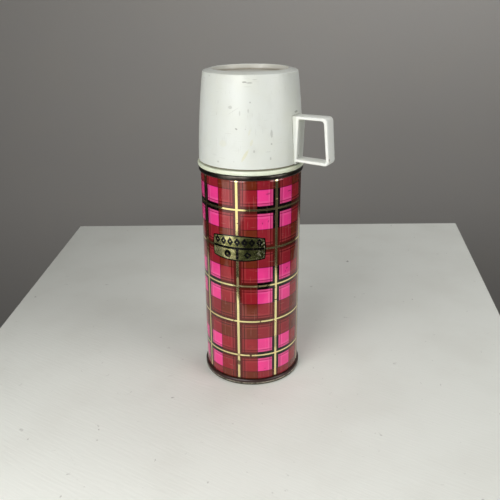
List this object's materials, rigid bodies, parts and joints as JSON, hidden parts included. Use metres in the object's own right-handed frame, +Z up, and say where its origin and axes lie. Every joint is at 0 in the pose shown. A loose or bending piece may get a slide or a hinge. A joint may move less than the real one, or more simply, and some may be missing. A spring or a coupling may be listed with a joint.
{
  "type": "vacuum flask",
  "caption": "Slim vacuum flask of a school lunch kit: printed tin body, white screw cup with a square handle, screw stopper and silvered glass filler.",
  "frame": {"origin": "on the flask's axis, in the plane it stands on", "axes": "+Z up along the flask's axis, +X towards the cup's handle at rest, -Y is a side view of the handle"},
  "size_m": [0.0895, 0.0678, 0.2051],
  "materials": {
    "printed_tin": "printed tartan lacquer on tinplate, semi-gloss, worn",
    "tinplate": "dull tinplate",
    "dark_metal": "dark gunmetal, satin",
    "ivory_plastic": "ivory moulded plastic, aged",
    "white_plastic": "white moulded plastic, scuffed and stained",
    "stopper_plastic": "red moulded plastic",
    "rubber": "matt brown rubber",
    "silvered_glass": "silvered glass",
    "mineral_pad": "pressed mineral fibre",
    "felt": "grey felt",
    "card": "brown corrugated card",
    "foam": "rigid foam"
  },
  "bodies": {
    "case": {"case_tube": "printed_tin", "base_cap": "tinplate", "top_ring": "dark_metal", "neck_collar": "ivory_plastic", "neck_gasket": "rubber", "glass_inner": "silvered_glass", "glass_outer": "silvered_glass", "spacer_pad_1": "mineral_pad", "spacer_pad_2": "mineral_pad", "spacer_pad_3": "mineral_pad", "tip_protector": "rubber", "base_cushion": "rubber", "base_pad": "card", "shoulder_cushion": "felt"},
    "cup_seal": {"cup_washer": "rubber"},
    "cup": {"cup": "white_plastic"},
    "stopper_seal": {"stopper_gasket": "rubber"},
    "stopper": {"stopper_plug": "stopper_plastic", "stopper_lid": "stopper_plastic", "stopper_core": "foam"}
  },
  "joints": [
    {"name": "cup_lift", "type": "slide", "parent": "case", "child": "cup_seal", "axis": [0, 0, 1], "range_m": [0, 0.07]},
    {"name": "cup_turn", "type": "hinge", "parent": "cup_seal", "child": "cup", "pos_m": [0, 0, 0.15], "axis": [0, 0, 1], "range_deg": [0, 450]},
    {"name": "stopper_lift", "type": "slide", "parent": "case", "child": "stopper_seal", "axis": [0, 0, 1], "range_m": [0, 0.032]},
    {"name": "stopper_turn", "type": "hinge", "parent": "stopper_seal", "child": "stopper", "pos_m": [0, 0, 0.16], "axis": [0, 0, 1], "range_deg": [0, 450]}
  ]
}
